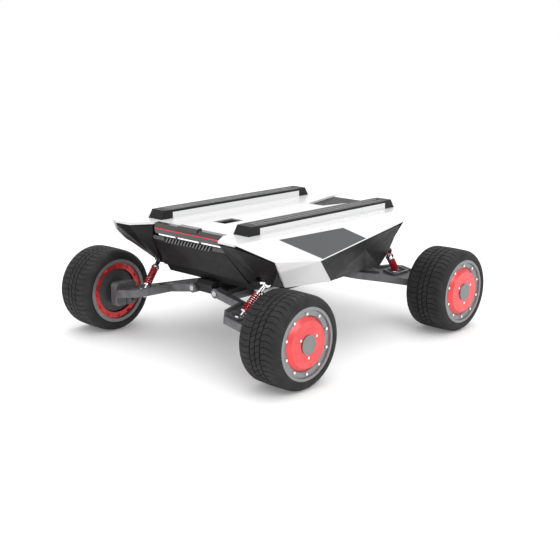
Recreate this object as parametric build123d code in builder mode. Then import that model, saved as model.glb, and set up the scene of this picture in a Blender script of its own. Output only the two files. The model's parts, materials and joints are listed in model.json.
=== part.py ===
"""Four wheel robot chassis with hub-motor wheels and sprung transverse arms.

Frame: +X is the front of the vehicle, +Y its left side, +Z up, and the origin lies on the
ground at the centre of the wheelbase. All lengths are in millimetres.
"""
import os
from math import atan2, cos, degrees, radians, sin, sqrt

from build123d import *

os.makedirs("parts", exist_ok=True)

# ---------------------------------------------------------------- driving dimensions
WHEELBASE = 452.0
TRACK = 490.0
TYRE_R = 80.0
TYRE_W = 86.0
HALF_BASE = WHEELBASE / 2
HALF_TRACK = TRACK / 2

DECK_Z = 230.0          # top of the flat deck
DECK_T = 4.0            # thickness of the deck moulding
SKIN = 3.5              # thickness of the folded side and fender mouldings
CREASE_Y = 161.7        # where the deck folds down into the side

RAIL_Y = 113.5          # centre line of each equipment rail
RAIL_W = 37.0
RAIL_TOP = 246.0
RAIL_FRONT = 204.0
RAIL_REAR = -202.0
CAP_LENGTH = 28.0
CAP_SLOPE = 8.0
SLOT_W = 8.2            # mouth of the T-slot
SLOT_LIP = 2.0
SLOT_CAVITY_W = 16.4
SLOT_CAVITY_H = 5.0

PIVOT_Y = 30.0          # control-arm hinge line
PIVOT_Z = 110.0
PIN_R = 5.0
RUNNING = 0.05          # radial running clearance
EYE_R = 9.0
ARM_DROP = radians(10.1)
ARM_T = 14.0            # flange height of the arm
ARM_WEB = 5.0
ARM_RIB = 5.0

DAMPER_TOP = (172.0, 141.0, 147.0)
DAMPER_FOOT = (226.0, 128.0, 90.0)
DAMPER_PIN_R = 4.0
FOOT_PIN_R = 3.5
FOOT_BORE_R = 5.0       # rubber-bushed eye, open to let the arm swing
DAMPER_EYE_R = 8.0
DAMPER_EYE_W = 12.0

CARRIER_INNER = 179.0   # inner and outer faces of the axle carrier
CARRIER_OUTER = 196.0
AXLE_R = 8.0

PANEL_FOOT = (-200.0, 140.0)    # rear panel, x and z at its lower and upper edges
PANEL_HEAD = (-238.0, 225.0)

SIDES = (("left", 1), ("right", -1))
CORNERS = (
    ("front_left", 1, 1),
    ("front_right", 1, -1),
    ("rear_left", -1, 1),
    ("rear_right", -1, -1),
)


def save(builder, name):
    """Label one finished piece and write it."""
    builder.part.label = name
    export_step(builder.part, f"parts/{name}.step")


def mirrored(points, side):
    """The same points on the left (+1) or the right (-1) of the vehicle."""
    return [(x, side * y, z) for x, y, z in points]


def folded_sheet(corners, flats, sweep, side):
    """A thin folded moulding: every flat is thickened by the same sweep vector."""
    with BuildPart() as sheet:
        for flat in flats:
            outer = [corners[key] for key in flat]
            inner = [(x + sweep[0], y + sweep[1], z + sweep[2]) for x, y, z in outer]
            ConvexPolyhedron(mirrored(outer + inner, side))
    return sheet


# ---------------------------------------------------------------- hull and what it holds
def hull_block(inset):
    """The tub's two stacked volumes, shrunk on every side by the wall thickness."""
    lower = [
        (sx * (88 - inset), sy * (112 - inset), 113 + inset) for sx in (1, -1) for sy in (1, -1)
    ] + [(sx * (88 - inset), sy * (117 - inset), 130) for sx in (1, -1) for sy in (1, -1)]
    upper = [
        (x, sy * (y - inset), z)
        for x, y, z in (
            (168 - inset, 116, 126 + inset),
            (-170 + inset, 116, 126 + inset),
            (204 - inset, 148, 222 + inset / 10),
            (-212 + inset, 148, 222 + inset / 10),
        )
        for sy in (1, -1)
    ]
    return lower, upper


def hull_tub():
    wall = 3.0
    lug_x = (121.0, 167.0)
    lug_length = 10.0
    with BuildPart() as tub:
        for block in hull_block(0):
            ConvexPolyhedron(block)
        # keel below the floor, with a raked nose at each end
        with BuildSketch(Plane.XZ):
            Polygon((-182, 129), (-188, 122), (-184, 106), (184, 106), (188, 122), (182, 129), align=None)
        extrude(amount=20, both=True)
        for block in hull_block(wall):
            ConvexPolyhedron(block, mode=Mode.SUBTRACT)
        # lugs that hold the arm pins
        for x in lug_x:
            for sx in (1, -1):
                with BuildSketch(Plane.YZ.offset(sx * x - lug_length / 2)):
                    with Locations((0, PIVOT_Z)):
                        SlotCenterToCenter(2 * PIVOT_Y, 2 * EYE_R)
                    with Locations((0, PIVOT_Z + 9)):
                        Rectangle(2 * PIVOT_Y - 8, 16)
                extrude(amount=lug_length)
        for side in (1, -1):
            with BuildSketch(Plane.YZ.offset(-190)):
                with Locations((side * PIVOT_Y, PIVOT_Z)):
                    Circle(PIN_R)
            extrude(amount=380, mode=Mode.SUBTRACT)
        # damper bosses and their fixed pins, one at each corner
        for _, sx, sy in CORNERS:
            with BuildSketch(Plane.XZ.offset(-sy * 118)):
                with Locations((sx * DAMPER_TOP[0], DAMPER_TOP[2])):
                    Circle(DAMPER_EYE_R)
            extrude(amount=-sy * (DAMPER_TOP[1] - DAMPER_EYE_W / 2 - 0.5 - 118))
            with BuildSketch(Plane.XZ.offset(-sy * 118)):
                with Locations((sx * DAMPER_TOP[0], DAMPER_TOP[2])):
                    Circle(DAMPER_PIN_R)
            extrude(amount=-sy * (DAMPER_TOP[1] + DAMPER_EYE_W / 2 + 2 - 118))
    save(tub, "hull_tub")


def arm_pins():
    with BuildPart() as pins:
        for sx in (1, -1):
            for sy in (1, -1):
                with BuildSketch(Plane.YZ.offset(sx * 144 - 47.5)):
                    with Locations((sy * PIVOT_Y, PIVOT_Z)):
                        Circle(PIN_R)
                extrude(amount=95)
    save(pins, "arm_pins")


def battery():
    with BuildPart() as pack:
        with BuildSketch(Plane.XY.offset(116.5)):
            RectangleRounded(160, 150, 6)
        extrude(amount=72)
        chamfer(pack.faces().sort_by(Axis.Z)[-1].edges(), 3)
        with BuildSketch(Plane.XY.offset(188.5)):
            with Locations((50, 0)):
                Rectangle(30, 44)
        extrude(amount=8)
    save(pack, "battery")


def controller():
    with BuildPart() as box:
        with BuildSketch(Plane.XY.offset(129.5)):
            with Locations((127, 0)):
                RectangleRounded(64, 130, 4)
        extrude(amount=26)
        with BuildSketch(Plane.XY.offset(155.5)):
            with GridLocations(9, 0, 7, 1):
                with Locations((127, 0)):
                    Rectangle(3, 120)
        extrude(amount=8)
    save(box, "controller")


# ---------------------------------------------------------------- deck, rails and mouldings
DECK_HALF = [
    (-117, 0), (-117, 20), (-252, 55), (-252, 92), (-240, 158), (263, 158), (261, 117), (225, 92),
    (213.5, 91), (213.5, 0),
]
PORT_X = 125.0
PORT_SIZE = (48.0, 34.0)


def top_cover():
    outline = DECK_HALF + [(x, -y) for x, y in reversed(DECK_HALF) if y > 0]
    with BuildPart() as cover:
        with BuildSketch(Plane.XY.offset(DECK_Z - DECK_T)):
            Polygon(*outline, align=None)
            with Locations((PORT_X, 0)):
                Rectangle(*PORT_SIZE, mode=Mode.SUBTRACT)
        extrude(amount=DECK_T)
        # sloping lip behind the front opening
        lip = [(213.5, DECK_Z - DECK_T), (210.5, DECK_Z - DECK_T), (200.5, 199), (203.5, 199)]
        ConvexPolyhedron([(x, y, z) for x, z in lip for y in (-91, 91)])
        # stiffening ribs under the deck
        for x in (-60, 60):
            with BuildSketch(Plane.XY.offset(DECK_Z - DECK_T - 3)):
                with Locations((x, 0)):
                    Rectangle(3, 280)
            extrude(amount=3)
    save(cover, "top_cover")


def side_panel(name, side):
    corners = {
        "front": (265, CREASE_Y, DECK_Z),
        "horn": (221, 212, 201),
        "waist": (97, 200.5, 181.3),
        "tail_low": (-225.4, 172.5, 215.6),
        "tail": (-240, CREASE_Y, DECK_Z),
        "front_mid": (205, 205, 181),
        "front_low": (155, 172, 140),
        "waist_low": (25, 164, 125.6),
    }
    flats = (
        ("front", "horn", "waist"),
        ("front", "waist", "tail_low", "tail"),
        ("horn", "front_mid", "waist"),
        ("front_mid", "front_low", "waist"),
        ("front_low", "waist_low", "waist"),
    )
    save(folded_sheet(corners, flats, (0, -SKIN, 0), side), f"side_panel_{name}")


def fender_front(name, side):
    corners = {
        "deck_inner": (225, 95, 223.5),
        "deck_mid": (260, 118, 223.5),
        "deck_outer": (262, 155, 223.5),
        "horn": (219, 205.5, 198),
        "front_mid": (204, 199, 180),
        "front_low": (155, 166, 139.5),
        "arch_outer": (172, 156, 143),
        "arch_top": (197, 146, 163),
        "arch_inner": (187, 118.5, 143.5),
        "bumper": (224.5, 96.5, 199),
    }
    flats = (
        ("deck_inner", "deck_mid", "bumper"),
        ("deck_mid", "arch_inner", "bumper"),
        ("deck_mid", "arch_top", "arch_inner"),
        ("deck_mid", "deck_outer", "arch_top"),
        ("deck_outer", "horn", "arch_top"),
        ("horn", "front_mid", "arch_top"),
        ("front_mid", "arch_outer", "arch_top"),
        ("front_mid", "front_low", "arch_outer"),
    )
    save(folded_sheet(corners, flats, (-3, 0, 2), side), f"fender_front_{name}")


def fender_rear(name, side):
    corners = {
        "waist": (92.5, 196, 180),
        "waist_low": (20.5, 160, 124.5),
        "crease": (-62, 173, 173),
        "tip": (-168, 173, 204),
        "floor_front": (-18, 122, 110),
        "floor_rear": (-130, 122, 114),
        "floor_tail": (-151, 139, 120),
        "tail_low": (-158, 153, 147),
    }
    flats = (
        ("waist", "waist_low", "crease"),
        ("waist", "crease", "tip"),
        ("waist_low", "floor_front", "crease"),
        ("floor_front", "floor_rear", "crease"),
        ("floor_rear", "floor_tail", "crease"),
        ("floor_tail", "tail_low", "crease"),
        ("tail_low", "tip", "crease"),
    )
    save(folded_sheet(corners, flats, (0, -SKIN, 1.0), side), f"fender_rear_{name}")


def front_bumper():
    corners = {
        "top_mid": (224, 0, 194),
        "top_kink": (224, 38, 194),
        "top_end": (224, 95, 198.5),
        "low_end": (185, 113, 141.5),
        "low_kink": (198, 38, 149),
        "low_mid": (203, 0, 153),
    }
    flats = (
        ("top_mid", "top_kink", "low_mid"),
        ("top_kink", "low_kink", "low_mid"),
        ("top_kink", "top_end", "low_kink"),
        ("top_end", "low_end", "low_kink"),
    )
    with BuildPart() as bumper:
        for side in (1, -1):
            add(folded_sheet(corners, flats, (-SKIN, 0, 0), side).part)
    save(bumper, "front_bumper")


def front_wing():
    profile = [(213.8, 229.6), (222.5, 228.8), (227.4, 220), (226, 210.7), (213.8, 212.5)]
    tip_y = [90.5, 90.5, 88.5, 86, 86]
    strut_y = 31.0
    with BuildPart() as wing:
        ends = [(x, side * y, z) for (x, z), y in zip(profile, tip_y) for side in (1, -1)]
        ConvexPolyhedron(ends)
        # raised block in the middle
        block = [(213.8, 232.6), (224.5, 231.8), (226, 224), (213.8, 224)]
        ConvexPolyhedron([(x, y, z) for x, z in block for y in (-26, 26)])
        # the two struts that stand on the grille
        for side in (1, -1):
            with BuildSketch(Plane.XY.offset(206.3)):
                with Locations((223.5, side * strut_y)):
                    Rectangle(4, 2)
            extrude(amount=6)
    save(wing, "front_wing")


def front_grille():
    slat_pitch = 8.0
    with BuildPart() as grille:
        # backing tray between bumper and opening
        tray = [(224, 194.3), (222, 206), (217, 206), (217, 194.3)]
        ConvexPolyhedron([(x, y, z) for x, z in tray for y in (-38, 38)])
        for side in (1, -1):
            inner = [(x, side * 38, z) for x, z in tray]
            outer = [(224, side * 95, 198.8), (222, side * 95, 206), (217, side * 95, 206),
                     (217, side * 95, 198.8)]
            ConvexPolyhedron(inner + outer)
        # leaning slats on the middle stretch, sunk into the tray
        for step in range(-7, 8):
            y = step * slat_pitch
            slat = [(y - 4, 197.2), (y - 1.5, 197.2), (y + 4, 205.4), (y + 1.5, 205.4)]
            ConvexPolyhedron([(x, yy, z) for yy, z in slat for x in (221, 225)])
        # level louvres on both outer stretches
        for side in (1, -1):
            for row in range(3):
                z = 200 + 2.1 * row
                ConvexPolyhedron([(x, side * y, z + up) for x in (221, 224.6) for y in (64, 94)
                                  for up in (0, 0.9)])
    save(grille, "front_grille")


def rear_plane():
    """Plane on the outer face of the rear panel, its normal pointing backwards."""
    dx = PANEL_HEAD[0] - PANEL_FOOT[0]
    dz = PANEL_HEAD[1] - PANEL_FOOT[1]
    centre = ((PANEL_HEAD[0] + PANEL_FOOT[0]) / 2, 0, (PANEL_HEAD[1] + PANEL_FOOT[1]) / 2)
    return Plane(origin=centre, x_dir=(0, -1, 0), z_dir=(-dz, 0, dx))


SOCKETS = ((-62.0, 4.0, 11.0), (62.0, 4.0, 9.0))     # y, height on the panel, radius
BUTTON_R = 8.0
BUTTON_TRAVEL = 2.0


def rear_panel():
    with BuildPart() as panel:
        face = [(PANEL_FOOT[0], y, PANEL_FOOT[1]) for y in (-118, 118)]
        face += [(PANEL_HEAD[0], y, PANEL_HEAD[1]) for y in (-150, 150)]
        ConvexPolyhedron(face + [(x + SKIN, y, z) for x, y, z in face])
        # deck floor under the rear notch
        with BuildSketch(Plane.XY.offset(222.5)):
            Polygon((-108, -30), (-108, 30), (-238, 64), (-238, -64), align=None)
        extrude(amount=3.2)
        # sockets and the button bush
        with BuildSketch(rear_plane()):
            for y, rise, radius in SOCKETS:
                with Locations((-y, rise)):
                    Circle(radius)
            with Locations((0, 4)):
                Circle(BUTTON_R + 0.4)
        extrude(amount=-8, both=True, mode=Mode.SUBTRACT)
    save(panel, "rear_panel")


def connector_ports():
    with BuildPart() as ports:
        # deck insert with its cable slot
        with BuildSketch(Plane.XY.offset(DECK_Z - DECK_T - 3)):
            with Locations((PORT_X, 0)):
                Rectangle(PORT_SIZE[0] + 8, PORT_SIZE[1] + 8)
        extrude(amount=3)
        with BuildSketch(Plane.XY.offset(DECK_Z - DECK_T)):
            with Locations((PORT_X, 0)):
                Rectangle(PORT_SIZE[0] - 0.4, PORT_SIZE[1] - 0.4)
        extrude(amount=2.4)
        with BuildSketch(Plane.XY.offset(DECK_Z)):
            with Locations((PORT_X, 0)):
                SlotOverall(36, 14)
        extrude(amount=-10, mode=Mode.SUBTRACT)
        # round sockets on the rear panel
        for y, rise, radius in SOCKETS:
            socket_plane = rear_plane().offset(-12)
            with BuildSketch(socket_plane):
                with Locations((-y, rise)):
                    Circle(radius)
            extrude(amount=14)
            with BuildSketch(socket_plane.offset(12)):
                with Locations((-y, rise)):
                    Circle(radius + 2.5)
            extrude(amount=2)
            with BuildSketch(socket_plane.offset(14)):
                with Locations((-y, rise)):
                    Circle(radius - 2)
                    with PolarLocations(radius / 3, 3):
                        Circle(1.4, mode=Mode.SUBTRACT)
            extrude(amount=-9, mode=Mode.SUBTRACT)
    save(ports, "connector_ports")


def power_button():
    with BuildPart() as button:
        with BuildSketch(rear_plane().offset(-7)):
            with Locations((0, 4)):
                Circle(BUTTON_R)
        extrude(amount=10.5)
        fillet(button.faces().sort_by(Axis.X)[0].edges(), 1)
    save(button, "power_button")


def rail_profile(centre_y):
    """Rail section: a broad cap with a T-slot and a narrow web below it."""
    half_w = RAIL_W / 2
    with Locations((centre_y, RAIL_TOP - 2.2)):
        Rectangle(2 * half_w, 4.4)
    with Locations((centre_y, RAIL_TOP - 6)):
        Rectangle(26, 12)
    with Locations((centre_y, RAIL_TOP - SLOT_LIP - SLOT_CAVITY_H / 2)):
        Rectangle(SLOT_CAVITY_W, SLOT_CAVITY_H, mode=Mode.SUBTRACT)
    with Locations((centre_y, RAIL_TOP - SLOT_LIP / 2)):
        Rectangle(SLOT_W, SLOT_LIP + 0.02, mode=Mode.SUBTRACT)


def rails():
    with BuildPart() as rail_pair:
        with BuildSketch(Plane.YZ.offset(RAIL_REAR + CAP_LENGTH)):
            for side in (1, -1):
                rail_profile(side * RAIL_Y)
        extrude(amount=RAIL_FRONT - RAIL_REAR - 2 * CAP_LENGTH)
    save(rail_pair, "rails")


def rail_risers():
    wall = 3.5
    with BuildPart() as risers:
        with BuildSketch(Plane.YZ.offset(RAIL_REAR + CAP_LENGTH)):
            for side in (1, -1):
                with Locations((side * RAIL_Y, (DECK_Z + RAIL_TOP - 4.4) / 2)):
                    Rectangle(RAIL_W - 0.8, RAIL_TOP - 4.4 - DECK_Z)
                with Locations((side * RAIL_Y, (DECK_Z + wall + RAIL_TOP) / 2)):
                    Rectangle(RAIL_W - 0.8 - 2 * wall, RAIL_TOP - DECK_Z - wall, mode=Mode.SUBTRACT)
        extrude(amount=RAIL_FRONT - RAIL_REAR - 2 * CAP_LENGTH)
    save(risers, "rail_risers")


def rail_end_caps():
    with BuildPart() as caps:
        for tip, inner in ((RAIL_FRONT, RAIL_FRONT - CAP_LENGTH), (RAIL_REAR, RAIL_REAR + CAP_LENGTH)):
            toward = 1 if tip > inner else -1
            for side in (1, -1):
                low = [(x, side * RAIL_Y + e, DECK_Z) for x in (tip, inner)
                       for e in (-RAIL_W / 2, RAIL_W / 2)]
                high = [(tip - toward * CAP_SLOPE, side * RAIL_Y + e, RAIL_TOP)
                        for e in (-RAIL_W / 2 + 1.5, RAIL_W / 2 - 1.5)]
                high += [(inner, side * RAIL_Y + e, RAIL_TOP) for e in (-RAIL_W / 2, RAIL_W / 2)]
                ConvexPolyhedron(low + high)
    save(caps, "rail_end_caps")


# ---------------------------------------------------------------- suspension corner
ARM_OUTLINE = [
    (97, 0), (114.7, 0), (114.7, 15), (173.3, 15), (173.3, 0), (190, 0), (190, 62), (236, 74),
    (254, 92), (254, 150), (200, 150), (168, 112), (130, 72), (97, 22),
]
ARM_WINDOW = [(122, 27), (177, 27), (177, 84)]
ARM_SLOT = [(198, 90.4), (240, 90.4), (240, 110.8), (198, 110.8)]


def arm_plane(side):
    """Mid-plane of the arm: it starts at the hinge line and drops towards the wheel."""
    return Plane(
        origin=(0, side * PIVOT_Y, PIVOT_Z), x_dir=(1, 0, 0), z_dir=(0, sin(ARM_DROP), side * cos(ARM_DROP))
    )


def control_arm(name, sx, sy):
    def flat(points):
        return Polygon(*[(sx * x, v) for x, v in points], align=None, mode=Mode.PRIVATE)

    plane = arm_plane(sy)
    with BuildPart() as arm:
        with BuildSketch(plane):
            add(flat(ARM_OUTLINE))
            add(flat(ARM_WINDOW), mode=Mode.SUBTRACT)
        extrude(amount=ARM_T / 2, both=True)
        # pockets on both faces leave a web between the ribs
        for face in (1, -1):
            with BuildSketch(plane.offset(face * ARM_WEB / 2)):
                add(offset(flat(ARM_OUTLINE), amount=-ARM_RIB, mode=Mode.PRIVATE))
                add(offset(flat(ARM_WINDOW), amount=ARM_RIB, mode=Mode.PRIVATE), mode=Mode.SUBTRACT)
                add(offset(flat(ARM_SLOT), amount=ARM_RIB, mode=Mode.PRIVATE), mode=Mode.SUBTRACT)
            extrude(amount=face * ARM_T, mode=Mode.SUBTRACT)
        with BuildSketch(plane):
            add(flat(ARM_SLOT))
        extrude(amount=ARM_T, both=True, mode=Mode.SUBTRACT)
        # hinge eyes
        for x0, x1 in ((97, 114.7), (173.3, 190)):
            with BuildSketch(Plane.YZ.offset(sx * x0)):
                with Locations((sy * PIVOT_Y, PIVOT_Z)):
                    Circle(EYE_R)
            extrude(amount=sx * (x1 - x0))
        with BuildSketch(Plane.YZ):
            with Locations((sy * PIVOT_Y, PIVOT_Z)):
                Circle(PIN_R + RUNNING)
        extrude(amount=sx * 200, mode=Mode.SUBTRACT)
        # damper foot pin across the slot
        with BuildSketch(Plane.XZ.offset(-sy * 117)):
            with Locations((sx * DAMPER_FOOT[0], DAMPER_FOOT[2])):
                Circle(FOOT_PIN_R)
        extrude(amount=-sy * 24)
    save(arm, f"control_arm_{name}")


def axle_carrier(name, sx, sy):
    with BuildPart() as carrier:
        with BuildSketch(Plane.XZ.offset(-sy * CARRIER_INNER)):
            with Locations((sx * HALF_BASE, TYRE_R)):
                RectangleRounded(50, 46, 8)
            with Locations((sx * HALF_BASE, TYRE_R)):
                Circle(AXLE_R + RUNNING, mode=Mode.SUBTRACT)
            with Locations((sx * (HALF_BASE - 15), TYRE_R - 12)):
                RegularPolygon(5.5, 4, mode=Mode.SUBTRACT)
        extrude(amount=-sy * (CARRIER_OUTER - CARRIER_INNER))
        chamfer(carrier.faces().filter_by(Axis.Y).edges().filter_by(GeomType.LINE).sort_by(Axis.Z)[-2:], 1.5)
        # clamp split below the axle
        with BuildSketch(Plane.XZ.offset(-sy * CARRIER_INNER)):
            with Locations((sx * HALF_BASE, TYRE_R - 16)):
                Rectangle(2.4, 20)
        extrude(amount=-sy * (CARRIER_OUTER - CARRIER_INNER), mode=Mode.SUBTRACT)
    save(carrier, f"axle_carrier_{name}")


def wheel_plane(sx, sy):
    """Section plane of a wheel: first axis is radius, second is the outward offset."""
    return Plane(origin=(sx * HALF_BASE, sy * HALF_TRACK, TYRE_R), x_dir=(1, 0, 0), z_dir=(0, 0, sy))


def wheel_axis(sx):
    return Axis((sx * HALF_BASE, 0, TYRE_R), (0, 1, 0))


def turned(profile, sx, sy):
    """A turned piece from its (radius, outward offset) section."""
    with BuildPart() as piece:
        with BuildSketch(wheel_plane(sx, sy)):
            Polygon(*profile, align=None)
        revolve(axis=wheel_axis(sx))
    return piece


RIM_BARREL_R = 58.0
RIM_LIP_R = 61.5
RIM_INNER_R = 55.0
RIM_HALF_W = 41.4
HUB_FACE = 43.0
HUB_FLAT_R = 39.6
HUB_R = 46.7
BOLT_CIRCLE_R = 50.5
CAP_R = 16.3
CAP_FACE = 44.6
SCREW_CIRCLE_R = 22.0


def tyre(name, sx, sy):
    half_w = TYRE_W / 2
    shoulder_r = 14.0
    groove_w = 1.6
    groove_depth = 2.6
    bead = RIM_LIP_R + 0.3
    with BuildPart() as tread:
        with BuildSketch(wheel_plane(sx, sy)) as section:
            Polygon(
                (RIM_BARREL_R + 0.2, 37.8), (bead, 37.8), (bead, 41.6), (64, half_w), (TYRE_R - 1, half_w),
                (TYRE_R, 10), (TYRE_R, -10), (TYRE_R - 1, -half_w), (64, -half_w), (bead, -41.6),
                (bead, -37.8), (RIM_BARREL_R + 0.2, -37.8), align=None,
            )
            fillet([v for v in section.vertices() if v.X > TYRE_R - 2 and abs(v.Y) > half_w - 1], shoulder_r)
            for offset_y in (-11, 0, 11):
                with Locations((TYRE_R, offset_y)):
                    Rectangle(2 * groove_depth, groove_w, mode=Mode.SUBTRACT)
        revolve(axis=wheel_axis(sx))
    save(tread, f"tyre_{name}")


def rim(name, sx, sy):
    barrel = [
        (RIM_INNER_R, -RIM_HALF_W), (RIM_LIP_R, -RIM_HALF_W), (RIM_LIP_R, -38), (RIM_BARREL_R, -38),
        (RIM_BARREL_R, 38), (RIM_LIP_R, 38), (RIM_LIP_R, RIM_HALF_W), (56.5, RIM_HALF_W), (55.5, 38),
        (HUB_R + 0.2, 37), (HUB_R + 0.2, 33), (RIM_INNER_R, 33),
    ]
    save(turned(barrel, sx, sy), f"rim_{name}")


def motor_housing(name, sx, sy):
    shell = [
        (0, HUB_FACE), (HUB_FLAT_R, HUB_FACE), (HUB_R - 2, HUB_FACE - 4), (HUB_R, HUB_FACE - 6),
        (HUB_R, 32.8), (46, 32.8), (46, -32), (54.6, -32), (54.6, -37.5), (43, -37.5), (43, 27),
        (14, 27), (14, 30), (0, 30),
    ]
    with BuildPart() as housing:
        with BuildSketch(wheel_plane(sx, sy)):
            Polygon(*shell, align=None)
            Polygon(*[(0, 29), (AXLE_R + RUNNING, 29), (AXLE_R + RUNNING, 36.2), (0, 36.2)],
                    align=None, mode=Mode.SUBTRACT)
        revolve(axis=wheel_axis(sx))
        # dark notches around the inner flange
        notch_plane = Plane(
            origin=(sx * HALF_BASE, sy * (HALF_TRACK - 37.5), TYRE_R), x_dir=(1, 0, 0), z_dir=(0, -sy, 0)
        )
        with BuildSketch(notch_plane):
            with PolarLocations(49.5, 12):
                RectangleRounded(4.5, 9, 1.5)
        extrude(amount=-3, mode=Mode.SUBTRACT)
    save(housing, f"motor_housing_{name}")


def hub_axle(name, sx, sy):
    section = [
        (0, -65), (AXLE_R - 1, -65), (AXLE_R, -64), (AXLE_R, -46), (15, -46), (16, -45), (16, -40),
        (27, -39), (27, -36), (41.5, -34), (41.5, -30), (12, -30), (12, -25), (38, -25), (38, 22),
        (12, 22), (12, 26), (AXLE_R, 26), (AXLE_R, 35), (0, 35),
    ]
    save(turned(section, sx, sy), f"hub_axle_{name}")


def wheel_trim(name, sx, sy):
    face = Plane(
        origin=(sx * HALF_BASE, sy * (HALF_TRACK + HUB_FACE), TYRE_R), x_dir=(1, 0, 0), z_dir=(0, sy, 0)
    )
    with BuildPart() as trim:
        with BuildSketch(face):
            Circle(CAP_R)
        extrude(amount=CAP_FACE - HUB_FACE)
        with BuildSketch(face):
            with PolarLocations(SCREW_CIRCLE_R, 3, start_angle=90):
                Circle(2.2)
        extrude(amount=1.2)
        with BuildSketch(face.offset(37.7 - HUB_FACE)):
            with PolarLocations(BOLT_CIRCLE_R, 10, start_angle=18):
                Circle(2.3)
        extrude(amount=2.6)
    save(trim, f"wheel_trim_{name}")


# ---------------------------------------------------------------- dampers
def damper_plane(sx, sy, along):
    """Plane square to the damper's line, a distance along it from the top pin."""
    top = Vector(sx * DAMPER_TOP[0], sy * DAMPER_TOP[1], DAMPER_TOP[2])
    foot = Vector(sx * DAMPER_FOOT[0], sy * DAMPER_FOOT[1], DAMPER_FOOT[2])
    line = (foot - top).normalized()
    return Plane(origin=top + line * along, x_dir=(0, 1, 0), z_dir=line)


SPRING_TOP = 22.8       # distances along the damper's line
SPRING_FOOT = 61.5
DAMPER_LENGTH = sqrt(sum((a - b) ** 2 for a, b in zip(DAMPER_TOP, DAMPER_FOOT)))


def cross_eye(centre, outer_r, bore_r, width, side):
    """A damper eye: a short tube along Y around the given centre."""
    with BuildSketch(Plane.XZ.offset(-(side * centre[1] - width / 2))) as ring:
        with Locations((centre[0], centre[2])):
            Circle(outer_r)
    extrude(ring.sketch, amount=-width)
    with BuildSketch(Plane.XZ.offset(-(side * centre[1] - width))) as bore:
        with Locations((centre[0], centre[2])):
            Circle(bore_r)
    extrude(bore.sketch, amount=-2 * width, mode=Mode.SUBTRACT)


def damper_body(name, sx, sy):
    with BuildPart() as body:
        with BuildSketch(damper_plane(sx, sy, 3)):
            Circle(4.8)
        extrude(amount=43)
        with BuildSketch(damper_plane(sx, sy, SPRING_TOP - 3.4)):
            Circle(8)
        extrude(amount=3)
        with BuildSketch(damper_plane(sx, sy, 24)):
            Circle(2.75 + RUNNING)
        extrude(amount=30, mode=Mode.SUBTRACT)
        cross_eye((sx * DAMPER_TOP[0], DAMPER_TOP[1], DAMPER_TOP[2]), DAMPER_EYE_R,
                  DAMPER_PIN_R + RUNNING, DAMPER_EYE_W, sy)
    save(body, f"damper_body_{name}")


def damper_rod(name, sx, sy):
    with BuildPart() as rod:
        with BuildSketch(damper_plane(sx, sy, 33)):
            Circle(2.75)
        extrude(amount=DAMPER_LENGTH - 33 - 3)
        with BuildSketch(damper_plane(sx, sy, SPRING_FOOT + 0.4)):
            Circle(7.2)
        extrude(amount=3)
        cross_eye((sx * DAMPER_FOOT[0], DAMPER_FOOT[1], DAMPER_FOOT[2]), DAMPER_EYE_R,
                  FOOT_BORE_R, 10, sy)
    save(rod, f"damper_rod_{name}")


def spring(name, sx, sy):
    wire_r = 1.0
    coil_r = 6.3
    turns = 7
    length = SPRING_FOOT - SPRING_TOP - 2 * wire_r - 0.2
    start = damper_plane(sx, sy, SPRING_TOP + wire_r + 0.1)
    with BuildPart() as coil:
        with BuildLine() as path:
            Helix(length / turns, length, coil_r, center=start.origin, direction=start.z_dir)
        with BuildSketch(Plane(origin=path.line @ 0, z_dir=path.line % 0)):
            Circle(wire_r)
        sweep(path=path.line)
    save(coil, f"spring_{name}")


# ---------------------------------------------------------------- build every piece
hull_tub()
arm_pins()
battery()
controller()
top_cover()
front_bumper()
front_wing()
front_grille()
rear_panel()
connector_ports()
power_button()
rails()
rail_risers()
rail_end_caps()
for side_name, side_sign in SIDES:
    side_panel(side_name, side_sign)
    fender_front(side_name, side_sign)
    fender_rear(side_name, side_sign)
for corner, front_back, left_right in CORNERS:
    control_arm(corner, front_back, left_right)
    axle_carrier(corner, front_back, left_right)
    hub_axle(corner, front_back, left_right)
    tyre(corner, front_back, left_right)
    rim(corner, front_back, left_right)
    motor_housing(corner, front_back, left_right)
    wheel_trim(corner, front_back, left_right)
    damper_body(corner, front_back, left_right)
    damper_rod(corner, front_back, left_right)
    spring(corner, front_back, left_right)
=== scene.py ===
"""Looks for the four wheel robot chassis: materials, tread, springs, badges, light and camera.

Metres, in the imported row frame: +X is the front of the vehicle, +Y its left side, +Z up.
"""

import json
import math

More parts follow.
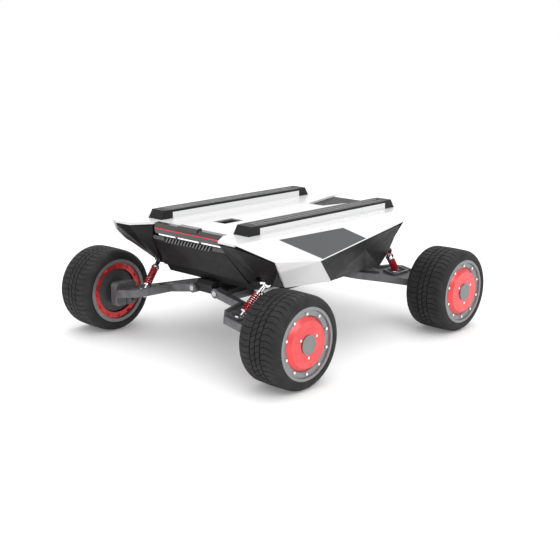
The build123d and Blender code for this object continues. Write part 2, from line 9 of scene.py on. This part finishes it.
import bmesh
import bpy
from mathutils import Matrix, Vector
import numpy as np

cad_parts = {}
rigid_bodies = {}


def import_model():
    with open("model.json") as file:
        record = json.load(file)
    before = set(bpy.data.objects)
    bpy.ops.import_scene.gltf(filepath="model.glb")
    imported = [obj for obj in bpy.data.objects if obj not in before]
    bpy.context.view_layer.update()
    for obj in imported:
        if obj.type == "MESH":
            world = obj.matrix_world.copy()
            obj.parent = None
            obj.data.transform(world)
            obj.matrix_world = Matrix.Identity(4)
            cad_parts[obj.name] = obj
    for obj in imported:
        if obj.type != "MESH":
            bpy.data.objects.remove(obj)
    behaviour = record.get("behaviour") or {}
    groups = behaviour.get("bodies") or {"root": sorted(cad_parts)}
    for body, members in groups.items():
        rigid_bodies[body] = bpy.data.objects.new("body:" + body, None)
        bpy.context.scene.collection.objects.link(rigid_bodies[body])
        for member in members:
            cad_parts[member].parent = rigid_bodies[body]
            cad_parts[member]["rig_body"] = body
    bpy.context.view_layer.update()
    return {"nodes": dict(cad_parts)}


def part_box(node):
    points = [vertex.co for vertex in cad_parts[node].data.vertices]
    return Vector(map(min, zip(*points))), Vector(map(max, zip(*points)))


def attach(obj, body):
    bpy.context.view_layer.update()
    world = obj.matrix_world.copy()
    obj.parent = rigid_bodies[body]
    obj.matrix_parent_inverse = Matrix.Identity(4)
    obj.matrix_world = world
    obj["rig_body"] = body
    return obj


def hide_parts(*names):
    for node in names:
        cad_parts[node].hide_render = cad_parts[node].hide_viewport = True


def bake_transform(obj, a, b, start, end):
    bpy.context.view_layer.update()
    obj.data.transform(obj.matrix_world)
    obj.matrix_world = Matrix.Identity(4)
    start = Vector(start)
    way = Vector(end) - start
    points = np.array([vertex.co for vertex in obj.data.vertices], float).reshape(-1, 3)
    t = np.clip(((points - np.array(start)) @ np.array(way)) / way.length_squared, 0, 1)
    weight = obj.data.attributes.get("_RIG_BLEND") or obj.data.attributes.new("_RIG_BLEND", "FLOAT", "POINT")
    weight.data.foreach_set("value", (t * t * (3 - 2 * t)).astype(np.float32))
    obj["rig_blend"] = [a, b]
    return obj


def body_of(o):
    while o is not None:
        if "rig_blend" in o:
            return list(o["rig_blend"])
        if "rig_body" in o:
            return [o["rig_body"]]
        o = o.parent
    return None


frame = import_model()
nodes = frame["nodes"]
CORNERS = ("front_left", "front_right", "rear_left", "rear_right")
MM = 0.001
RAIL_W = 37.0
SLOT_CAVITY_HALF = 8.3
LIP_EDGE_HALF = 5.6


# ---------------------------------------------------------------- material building
class Shader:
    """A Principled material with short helpers for procedural inputs in object space."""

    def __init__(self, name, colour, roughness, metallic=0.0):
        self.material = bpy.data.materials.new(name)
        self.material.use_nodes = True
        self.tree = self.material.node_tree
        self.surface = self.tree.nodes["Principled BSDF"]
        self.surface.inputs["Base Color"].default_value = (*colour, 1)
        self.surface.inputs["Roughness"].default_value = roughness
        self.surface.inputs["Metallic"].default_value = metallic
        self.place = self.tree.nodes.new("ShaderNodeTexCoord").outputs["Object"]

    def set(self, **values):
        for key, value in values.items():
            self.surface.inputs[key.replace("_", " ")].default_value = value
        return self

    def link(self, output, socket):
        self.tree.links.new(output, self.surface.inputs[socket])

    def noise(self, scale, detail=3.0, rough=0.5, stretch=(1, 1, 1)):
        mapping = self.tree.nodes.new("ShaderNodeMapping")
        mapping.inputs["Scale"].default_value = stretch
        self.tree.links.new(self.place, mapping.inputs["Vector"])
        node = self.tree.nodes.new("ShaderNodeTexNoise")
        node.inputs["Scale"].default_value = scale
        node.inputs["Detail"].default_value = detail
        node.inputs["Roughness"].default_value = rough
        self.tree.links.new(mapping.outputs[0], node.inputs["Vector"])
        return node.outputs["Fac"]

    def ramp(self, factor, low, high, low_value, high_value):
        """Maps factor from low..high to low_value..high_value, clamped."""
        node = self.tree.nodes.new("ShaderNodeMapRange")
        for socket, value in zip(node.inputs[1:5], (low, high, low_value, high_value)):
            socket.default_value = value
        self.tree.links.new(factor, node.inputs[0])
        return node.outputs[0]

    def mix(self, factor, first, second):
        """A colour between first and second, each a colour or an output."""
        node = self.tree.nodes.new("ShaderNodeMix")
        node.data_type = "RGBA"
        for socket, value in ((node.inputs[0], factor), (node.inputs[6], first), (node.inputs[7], second)):
            if isinstance(value, tuple):
                socket.default_value = (*value, 1)
            else:
                self.tree.links.new(value, socket)
        return node.outputs[2]

    def math(self, kind, first, second=None):
        node = self.tree.nodes.new("ShaderNodeMath")
        node.operation = kind
        for socket, value in zip(node.inputs, (first, second)):
            if value is None:
                continue
            if isinstance(value, (int, float)):
                socket.default_value = value
            else:
                self.tree.links.new(value, socket)
        return node.outputs[0]

    def axis(self, index):
        node = self.tree.nodes.new("ShaderNodeSeparateXYZ")
        self.tree.links.new(self.place, node.inputs[0])
        return node.outputs[index]

    def bump(self, height, strength, distance):
        node = self.tree.nodes.new("ShaderNodeBump")
        node.inputs["Strength"].default_value = strength
        node.inputs["Distance"].default_value = distance
        self.tree.links.new(height, node.inputs["Height"])
        previous = self.surface.inputs["Normal"].links
        if previous:
            self.tree.links.new(previous[0].from_socket, node.inputs["Normal"])
        self.link(node.outputs[0], "Normal")
        return self

    def mottle(self, dark, light, scale=60.0):
        """Slow colour variation between two close shades."""
        self.link(self.mix(self.ramp(self.noise(scale), 0.35, 0.65, 0, 1), dark, light), "Base Color")
        return self

    def uneven(self, low, high, scale=90.0):
        """Roughness that wanders between two values."""
        self.link(self.ramp(self.noise(scale, 4), 0.3, 0.7, low, high), "Roughness")
        return self


def white_gloss():
    s = Shader("white_gloss", (0.86, 0.86, 0.865), 0.3)
    s.mottle((0.7, 0.7, 0.705), (0.715, 0.715, 0.72), 9).uneven(0.27, 0.31, 40)
    s.set(Coat_Weight=0.3, Coat_Roughness=0.12)
    return s.bump(s.noise(900, 2), 0.04, 0.0004).material


def grained_plastic(name, dark, light, rough):
    s = Shader(name, light, rough)
    s.mottle(dark, light, 25).uneven(rough - 0.07, rough + 0.07, 70)
    s.set(Specular_IOR_Level=0.22)
    return s.bump(s.noise(2600, 2), 0.25, 0.0002).material


def wing_gloss():
    s = Shader("wing_gloss", (0.02, 0.015, 0.016), 0.22)
    s.mottle((0.012, 0.010, 0.011), (0.035, 0.014, 0.016), 30).uneven(0.16, 0.28, 60)
    s.set(Coat_Weight=0.6, Coat_Roughness=0.06)
    return s.bump(s.noise(1200, 2), 0.05, 0.0003).material


def brushed(name, dark, light, rough, stretch, metallic=1.0):
    s = Shader(name, light, rough, metallic)
    streaks = s.noise(420, 4, 0.6, stretch)
    s.link(s.mix(s.ramp(streaks, 0.3, 0.7, 0, 1), dark, light), "Base Color")
    s.link(s.ramp(streaks, 0.25, 0.75, rough - 0.08, rough + 0.1), "Roughness")
    return s.bump(streaks, 0.12, 0.0002).material


def cast_metal():
    s = Shader("cast_metal", (0.07, 0.07, 0.074), 0.5, 0.35)
    s.mottle((0.11, 0.11, 0.115), (0.17, 0.17, 0.175), 55).uneven(0.42, 0.6, 120)
    return s.bump(s.noise(1400, 3), 0.3, 0.0003).material


def rubber():
    s = Shader("tyre_rubber", (0.042, 0.042, 0.042), 0.62)
    s.mottle((0.013, 0.013, 0.014), (0.021, 0.021, 0.021), 45).uneven(0.6, 0.78, 80)
    s.set(Specular_IOR_Level=0.3)
    return s.bump(s.noise(2200, 3), 0.3, 0.0003).material


def hub_red():
    s = Shader("hub_red", (0.75, 0.03, 0.04), 0.3, 0.85)
    s.mottle((0.68, 0.045, 0.05), (0.78, 0.07, 0.075), 35).uneven(0.26, 0.38, 300)
    s.set(Coat_Weight=0.8, Coat_Roughness=0.18)
    return s.bump(s.noise(1600, 2), 0.05, 0.0002).material


def rail_metal():
    """Black anodised extrusion whose T-slot and the edges of its lips are bare metal."""
    s = Shader("rail_metal", (0.03, 0.03, 0.032), 0.38, 0.3)
    rail_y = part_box("rails")[1].y - RAIL_W / 2 * MM
    offset = s.math("ABSOLUTE", s.math("SUBTRACT", s.math("ABSOLUTE", s.axis(1)), rail_y))
    inside = s.math("LESS_THAN", offset, SLOT_CAVITY_HALF * MM)
    below_lip = s.math("LESS_THAN", s.axis(2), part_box("rails")[1].z - 0.2 * MM)
    lip_edge = s.math("LESS_THAN", offset, LIP_EDGE_HALF * MM)
    slot = s.math("MAXIMUM", s.math("MULTIPLY", inside, below_lip), lip_edge)
    brushed_grey = s.mix(s.noise(300, 3, 0.5, (0.03, 1, 1)), (0.45, 0.45, 0.46), (0.62, 0.62, 0.63))
    s.link(s.mix(slot, (0.010, 0.010, 0.011), brushed_grey), "Base Color")
    s.set(Specular_IOR_Level=0.25)
    s.link(s.ramp(slot, 0, 1, 0.15, 0.95), "Metallic")
    s.uneven(0.3, 0.44, 150)
    return s.bump(s.noise(500, 3, 0.5, (0.03, 1, 1)), 0.1, 0.0002).material


def wheel_trim_metal(corner):
    """Grey cap with bright screws: the split is made by distance from the wheel's axis."""
    s = Shader("wheel_trim_" + corner, (0.2, 0.2, 0.2), 0.35, 0.9)
    low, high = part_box("rim_" + corner)
    centre = (low + high) / 2
    dx = s.math("SUBTRACT", s.axis(0), centre.x)
    dz = s.math("SUBTRACT", s.axis(2), centre.z)
    radius = s.math("SQRT", s.math("ADD", s.math("MULTIPLY", dx, dx), s.math("MULTIPLY", dz, dz)))
    bright = s.math("GREATER_THAN", radius, 17.5 * MM)
    cap = s.mix(s.noise(60), (0.2, 0.205, 0.205), (0.27, 0.275, 0.275))
    s.link(s.mix(bright, cap, (0.85, 0.85, 0.86)), "Base Color")
    s.link(s.ramp(bright, 0, 1, 0.42, 0.14), "Roughness")
    return s.bump(s.noise(1500, 2), 0.05, 0.0002).material


def glow(name, dim, bright, strength):
    """A light guide: its level drifts slightly along its length."""
    s = Shader(name, bright, 0.3)
    colour = s.mix(s.ramp(s.noise(40), 0.3, 0.7, 0, 1), dim, bright)
    s.link(colour, "Base Color")
    s.link(colour, "Emission Color")
    s.set(Emission_Strength=strength)
    return s.material


def grille_metal():
    """Grille whose slat faces, the foremost surfaces, are grey; every surface deeper than these is painted
    near-black as painted shade.
    """
    s = Shader("grille_metal", (0.02, 0.02, 0.02), 0.42, 0.4)
    # painted shade: surfaces more than 0.7 mm behind the grille's front get the near-black colour, and only
    # the foremost slat faces keep the grey
    slat = s.math("GREATER_THAN", s.axis(0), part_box("front_grille")[1].x - 0.7 * MM)
    s.link(s.mix(slat, (0.014, 0.014, 0.015), (0.2, 0.2, 0.205)), "Base Color")
    s.uneven(0.34, 0.5, 150)
    return s.bump(s.noise(1500, 2), 0.08, 0.0002).material


def badge_print():
    """Dark badge with a fine diagonal weave and no lettering."""
    s = Shader("badge_print", (0.06, 0.062, 0.064), 0.4)
    stripes = s.math("SINE", s.math("MULTIPLY", s.math("ADD", s.axis(0), s.axis(2)), 2600))
    weave = s.math("SINE", s.math("MULTIPLY", s.math("SUBTRACT", s.axis(0), s.axis(2)), 2600))
    pattern = s.ramp(s.math("MULTIPLY", stripes, weave), -1, 1, 0, 1)
    s.link(s.mix(pattern, (0.05, 0.052, 0.054), (0.085, 0.088, 0.09)), "Base Color")
    s.uneven(0.32, 0.46, 60)
    return s.bump(pattern, 0.1, 0.0002).material


def dress(node, material, bevel=0.0):
    """Gives a CAD node its material and, where its moulding has one, a soft edge."""
    obj = nodes[node]
    for slot in obj.material_slots:
        slot.link = "OBJECT"
        slot.material = material
    if bevel:
        edge = obj.modifiers.new("soft_edge", "BEVEL")
        edge.width = bevel
        edge.segments = 2
        edge.limit_method = "ANGLE"
        edge.angle_limit = math.radians(28)
        edge.harden_normals = False


# ---------------------------------------------------------------- camera
def make_camera():
    """Camera at the viewing angle of the reference: 43 degrees left of the nose, 14 degrees up."""
    target = Vector((0.0251, 0.0364, 0.1061))
    bearing, elevation, distance = math.radians(43.25), math.radians(14.23), 1.850
    back = Vector((math.cos(bearing) * math.cos(elevation), math.sin(bearing) * math.cos(elevation),
                   math.sin(elevation)))
    data = bpy.data.cameras.new("camera")
    data.lens = 62.2
    data.clip_start = 0.05
    camera = bpy.data.objects.new("camera", data)
    camera.location = target + back * distance
    camera.rotation_euler = (-back).to_track_quat("-Z", "Y").to_euler()
    bpy.context.scene.collection.objects.link(camera)
    bpy.context.scene.camera = camera


make_camera()


# ---------------------------------------------------------------- dress the CAD nodes
white = white_gloss()
black = grained_plastic("black_plastic", (0.008, 0.008, 0.009), (0.013, 0.013, 0.014), 0.45)
hull_black = grained_plastic("hull_plastic", (0.014, 0.014, 0.015), (0.022, 0.022, 0.023), 0.5)
flare_black = grained_plastic("flare_plastic", (0.011, 0.011, 0.012), (0.018, 0.018, 0.019), 0.38)
port_black = grained_plastic("port_plastic", (0.01, 0.01, 0.01), (0.018, 0.018, 0.018), 0.5)
battery_wrap = grained_plastic("battery_wrap", (0.02, 0.06, 0.16), (0.03, 0.08, 0.22), 0.3)
button_red = grained_plastic("button_plastic", (0.42, 0.012, 0.015), (0.5, 0.02, 0.025), 0.3)
spring_coat = grained_plastic("spring_coat", (0.36, 0.01, 0.02), (0.5, 0.02, 0.035), 0.3)
steel = brushed("pin_steel", (0.4, 0.4, 0.42), (0.6, 0.6, 0.62), 0.28, (0.03, 1, 1))
chrome = brushed("rod_chrome", (0.78, 0.78, 0.8), (0.9, 0.9, 0.91), 0.12, (1, 1, 0.2))
rim_grey = brushed("rim_grey", (0.2, 0.205, 0.21), (0.3, 0.305, 0.31), 0.4, (1, 0.05, 1), 0.7)
axle_dark = brushed("axle_dark", (0.06, 0.06, 0.063), (0.1, 0.1, 0.105), 0.42, (1, 0.1, 1), 0.6)
case_grey = brushed("case_grey", (0.25, 0.26, 0.27), (0.33, 0.34, 0.35), 0.4, (1, 0.1, 1))
cast = cast_metal()
tread_rubber = rubber()
anodised = hub_red()

for name in ("top_cover", "side_panel_left", "side_panel_right", "rail_risers"):
    dress(name, white, 0.6 * MM)
for name in ("front_bumper", "rear_panel", "fender_front_left", "fender_front_right", "rail_end_caps"):
    dress(name, black, 0.8 * MM)
for name in ("fender_rear_left", "fender_rear_right"):
    dress(name, flare_black, 0.8 * MM)
dress("front_wing", wing_gloss(), 0.6 * MM)
dress("front_grille", grille_metal(), 0.25 * MM)
dress("hull_tub", hull_black, 0.8 * MM)
dress("rails", rail_metal(), 0.3 * MM)
dress("connector_ports", port_black, 0.4 * MM)
dress("battery", battery_wrap, 1.0 * MM)
dress("controller", case_grey, 0.5 * MM)
dress("arm_pins", steel, 0.4 * MM)
dress("power_button", button_red)
for corner in CORNERS:
    dress("control_arm_" + corner, cast, 0.8 * MM)
    dress("axle_carrier_" + corner, cast, 0.6 * MM)
    dress("hub_axle_" + corner, axle_dark)
    dress("rim_" + corner, rim_grey, 0.4 * MM)
    dress("tyre_" + corner, tread_rubber)
    dress("motor_housing_" + corner, anodised, 0.4 * MM)
    dress("wheel_trim_" + corner, wheel_trim_metal(corner), 0.4 * MM)
    dress("damper_body_" + corner, chrome, 0.3 * MM)
    dress("damper_rod_" + corner, chrome, 0.3 * MM)
    dress("spring_" + corner, spring_coat)


# ---------------------------------------------------------------- finer meshes for CAD pieces
def new_object(name, form, material):
    """Turns a finished bmesh into a named object with one material."""
    bmesh.ops.recalc_face_normals(form, faces=form.faces)
    mesh = bpy.data.meshes.new(name)
    form.to_mesh(mesh)
    form.free()
    mesh.materials.append(material)
    obj = bpy.data.objects.new(name, mesh)
    bpy.context.scene.collection.objects.link(obj)
    return obj


def body_under(node):
    return body_of(nodes[node])[0]


def skin(form, rings, closed):
    """Quads between neighbouring rings of vertices; closed also joins the last ring to the first."""
    last = len(rings) if closed else len(rings) - 1
    for i in range(last):
        first, second = rings[i], rings[(i + 1) % len(rings)]
        for j in range(len(first)):
            k = (j + 1) % len(first)
            form.faces.new((first[j], first[k], second[k], second[j]))


TYRE_R = 80.0           # millimetres in this section, as in the CAD
TYRE_HALF_W = 43.0
CROWN_HALF_W = 10.0
SHOULDER_R = 14.0
GROOVES = (-11.0, 0.0, 11.0)
GROOVE_DEPTH = 2.4
SIPE_DEPTH = 1.4
COLUMNS_PER_SIPE = 10
SIPES = 48


def crown_radius(t):
    """Radius of the tread at t from the tyre's middle plane, round shoulder included."""
    straight = TYRE_HALF_W - SHOULDER_R
    radius = TYRE_R - max(0.0, min(abs(t), straight) - CROWN_HALF_W) / (TYRE_HALF_W - CROWN_HALF_W)
    over = max(0.0, abs(t) - straight)
    return radius - SHOULDER_R + math.sqrt(SHOULDER_R ** 2 - over ** 2)


def tread_rows():
    """Rows across the tread: place, radius and how deep the sipes are there."""
    rows = []
    for groove in GROOVES:
        for step, depth in ((-1.1, 0.0), (-0.7, GROOVE_DEPTH), (0.7, GROOVE_DEPTH), (1.1, 0.0)):
            t = groove + step
            rows.append((t, crown_radius(t) - depth, SIPE_DEPTH if depth == 0.0 else 0.0))
    plain = ((3.5, 1), (6, 1), (8.5, 1), (15.5, 1), (19, 1), (22.5, 1), (26, 1), (29, 1), (32, 0.9),
             (35, 0.6), (37.5, 0.25), (39.5, 0), (41.3, 0), (42.5, 0), (TYRE_HALF_W, 0))
    for t, share in plain:
        for sign in (1, -1):
            rows.append((sign * t, crown_radius(t), SIPE_DEPTH * share))
    bead = [(-42.6, 63.2), (-41.6, 61.8), (-38, 61.8), (-38, 58.3), (38, 58.3), (38, 61.8),
            (41.6, 61.8), (42.6, 63.2)]
    inner_bead = [(t, r, 0.0) for t, r in bead[:4]]
    outer_bead = [(t, r, 0.0) for t, r in bead[4:]]
    return outer_bead + sorted(rows, reverse=True) + inner_bead


def treaded_tyre(corner):
    low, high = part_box("rim_" + corner)
    centre = (low + high) / 2
    outward = 1 if centre.y > 0 else -1
    columns = SIPES * COLUMNS_PER_SIPE
    form = bmesh.new()
    rings = []
    for t, radius, sipe in tread_rows():
        lean = 0.11 * math.sin(math.pi * t / TYRE_HALF_W)
        stagger = COLUMNS_PER_SIPE // 2 if abs(t) < GROOVES[-1] else 0
        ring = []
        for i in range(columns):
            angle = 2 * math.pi * i / columns + lean
            r = (radius - (sipe if (i + stagger) % COLUMNS_PER_SIPE == 0 else 0)) * MM
            ring.append(form.verts.new((centre.x + r * math.cos(angle), centre.y + outward * t * MM,
                                        centre.z + r * math.sin(angle))))
        rings.append(ring)
    skin(form, rings, closed=True)
    obj = new_object("tread_" + corner, form, tread_rubber)
    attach(obj, body_under("tyre_" + corner))
    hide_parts("tyre_" + corner)


DAMPER_TOP = Vector((172, 141, 147))
DAMPER_FOOT = Vector((226, 128, 90))
SPRING_SPAN = (24.2, 60.1)      # wire centres at the coil's ends, along the damper from its top pin
SPRING_TURNS = 9
COIL_R = 6.2
WIRE_R = 1.2


def coil_spring(corner):
    """A coil that shortens with the damper: its top stays on the body, its foot on the rod."""
    sx = 1 if "front" in corner else -1
    sy = 1 if "left" in corner else -1
    top, foot = (Vector((sx * p.x, sy * p.y, p.z)) * MM for p in (DAMPER_TOP, DAMPER_FOOT))
    along = (foot - top).normalized()
    across = along.cross(Vector((0, 1, 0))).normalized()
    third = along.cross(across)
    start, end = (top + along * d * MM for d in SPRING_SPAN)
    steps = SPRING_TURNS * 24
    form = bmesh.new()
    rings = []
    for i in range(steps + 1):
        turn = 2 * math.pi * SPRING_TURNS * i / steps
        out = across * math.cos(turn) + third * math.sin(turn)
        middle = start.lerp(end, i / steps) + out * COIL_R * MM
        ring = []
        for j in range(8):
            a = 2 * math.pi * j / 8
            ring.append(form.verts.new(middle + (out * math.cos(a) + along * math.sin(a)) * WIRE_R * MM))
        rings.append(ring)
    skin(form, rings, closed=False)
    form.faces.new(rings[0])
    form.faces.new(rings[-1])
    obj = new_object("coil_" + corner, form, spring_coat)
    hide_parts("spring_" + corner)
    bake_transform(obj, body_under("damper_body_" + corner), body_under("damper_rod_" + corner),
             start=tuple(start), end=tuple(end))


# ---------------------------------------------------------------- light guides and side badges
def rounded_bar(name, centre, radii, half_length, material, node):
    """A bar along Y with an oval section and eased ends. centre and radii are in X and Z, in mm."""
    sides = 16
    form = bmesh.new()
    rings = []
    for inset, size in ((0, 0.55), (0.5, 0.85), (1.4, 1.0)):
        rings.append((-half_length + inset, size))
    rings += [(-y, size) for y, size in reversed(rings)]
    loops = []
    for y, size in rings:
        loops.append([form.verts.new((
            (centre[0] + radii[0] * size * math.cos(2 * math.pi * j / sides)) * MM, y * MM,
            (centre[1] + radii[1] * size * math.sin(2 * math.pi * j / sides)) * MM,
        )) for j in range(sides)])
    skin(form, loops, closed=False)
    form.faces.new(loops[0])
    form.faces.new(loops[-1])
    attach(new_object(name, form, material), body_under(node))


BADGE = [(165.7, 166.1, 224.3), (-1.2, 168.1, 221.5), (-45.4, 186.8, 198.1), (88.8, 198.6, 183.7)]


def side_badge(name, side, material):
    """A thin plate with a raised rim, lying on the upper facet of a side panel."""
    corners = [Vector((x, side * y, z)) * MM for x, y, z in BADGE]
    normal = (corners[1] - corners[0]).cross(corners[3] - corners[0]).normalized()
    normal *= 1 if normal.y * side > 0 else -1
    form = bmesh.new()
    base = form.faces.new([form.verts.new(c - normal * 0.05 * MM) for c in corners])
    raised = bmesh.ops.extrude_face_region(form, geom=[base])["geom"]
    top = [part for part in raised if isinstance(part, bmesh.types.BMVert)]
    bmesh.ops.translate(form, verts=top, vec=normal * 0.6 * MM)
    cap = [part for part in raised if isinstance(part, bmesh.types.BMFace)]
    bmesh.ops.inset_individual(form, faces=cap, thickness=1.4 * MM, depth=0)
    bmesh.ops.translate(form, verts=list(cap[0].verts), vec=-normal * 0.2 * MM)
    panel = "side_panel_left" if side > 0 else "side_panel_right"
    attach(new_object(name, form, material), body_under(panel))


for corner in CORNERS:
    treaded_tyre(corner)
    coil_spring(corner)
# the white guide lies on the grille's top, behind the wing's struts
white_light = glow("white_light", (0.85, 0.87, 0.9), (1, 1, 1), 0.8)
rounded_bar("light_bar", (219.4, 208.2), (2.0, 1.9), 84, white_light, "front_grille")
red_light = glow("red_light", (0.45, 0, 0.01), (0.75, 0.01, 0.03), 0.35)
rounded_bar("wing_light", (227.1, 220), (0.9, 0.8), 86, red_light, "front_wing")
badge = badge_print()
side_badge("badge_left", 1, badge)
side_badge("badge_right", -1, badge)


# ---------------------------------------------------------------- stage and light
def make_floor():
    mesh = bpy.data.meshes.new("floor")
    form = bmesh.new()
    bmesh.ops.create_grid(form, x_segments=1, y_segments=1, size=12)
    form.to_mesh(mesh)
    form.free()
    floor = bpy.data.objects.new("floor", mesh)
    bpy.context.scene.collection.objects.link(floor)
    s = Shader("floor_paint", (0.9, 0.9, 0.9), 0.6)
    s.link(s.mix(s.noise(1.5), (0.89, 0.89, 0.89), (0.91, 0.91, 0.91)), "Base Color")
    s.set(Emission_Color=(1, 1, 1, 1), Emission_Strength=0.12)
    mesh.materials.append(s.material)


def softbox(name, place, target, size, power):
    lamp = bpy.data.lights.new(name, "AREA")
    lamp.shape = "RECTANGLE"
    lamp.size, lamp.size_y = size
    lamp.energy = power
    obj = bpy.data.objects.new(name, lamp)
    obj.location = place
    obj.rotation_euler = (Vector(target) - Vector(place)).to_track_quat("-Z", "Y").to_euler()
    bpy.context.scene.collection.objects.link(obj)


def make_light():
    world = bpy.data.worlds.new("studio")
    world.use_nodes = True
    world.node_tree.nodes["Background"].inputs["Color"].default_value = (1, 1, 1, 1)
    world.node_tree.nodes["Background"].inputs["Strength"].default_value = 1.0
    bpy.context.scene.world = world
    softbox("key", (0.6, 2.4, 2.2), (0, 0, 0.15), (2.2, 1.6), 26)
    softbox("top", (-0.3, -0.2, 2.8), (0, 0, 0.1), (2.6, 2.6), 30)


make_floor()
make_light()
bpy.context.scene.view_settings.view_transform = "Standard"
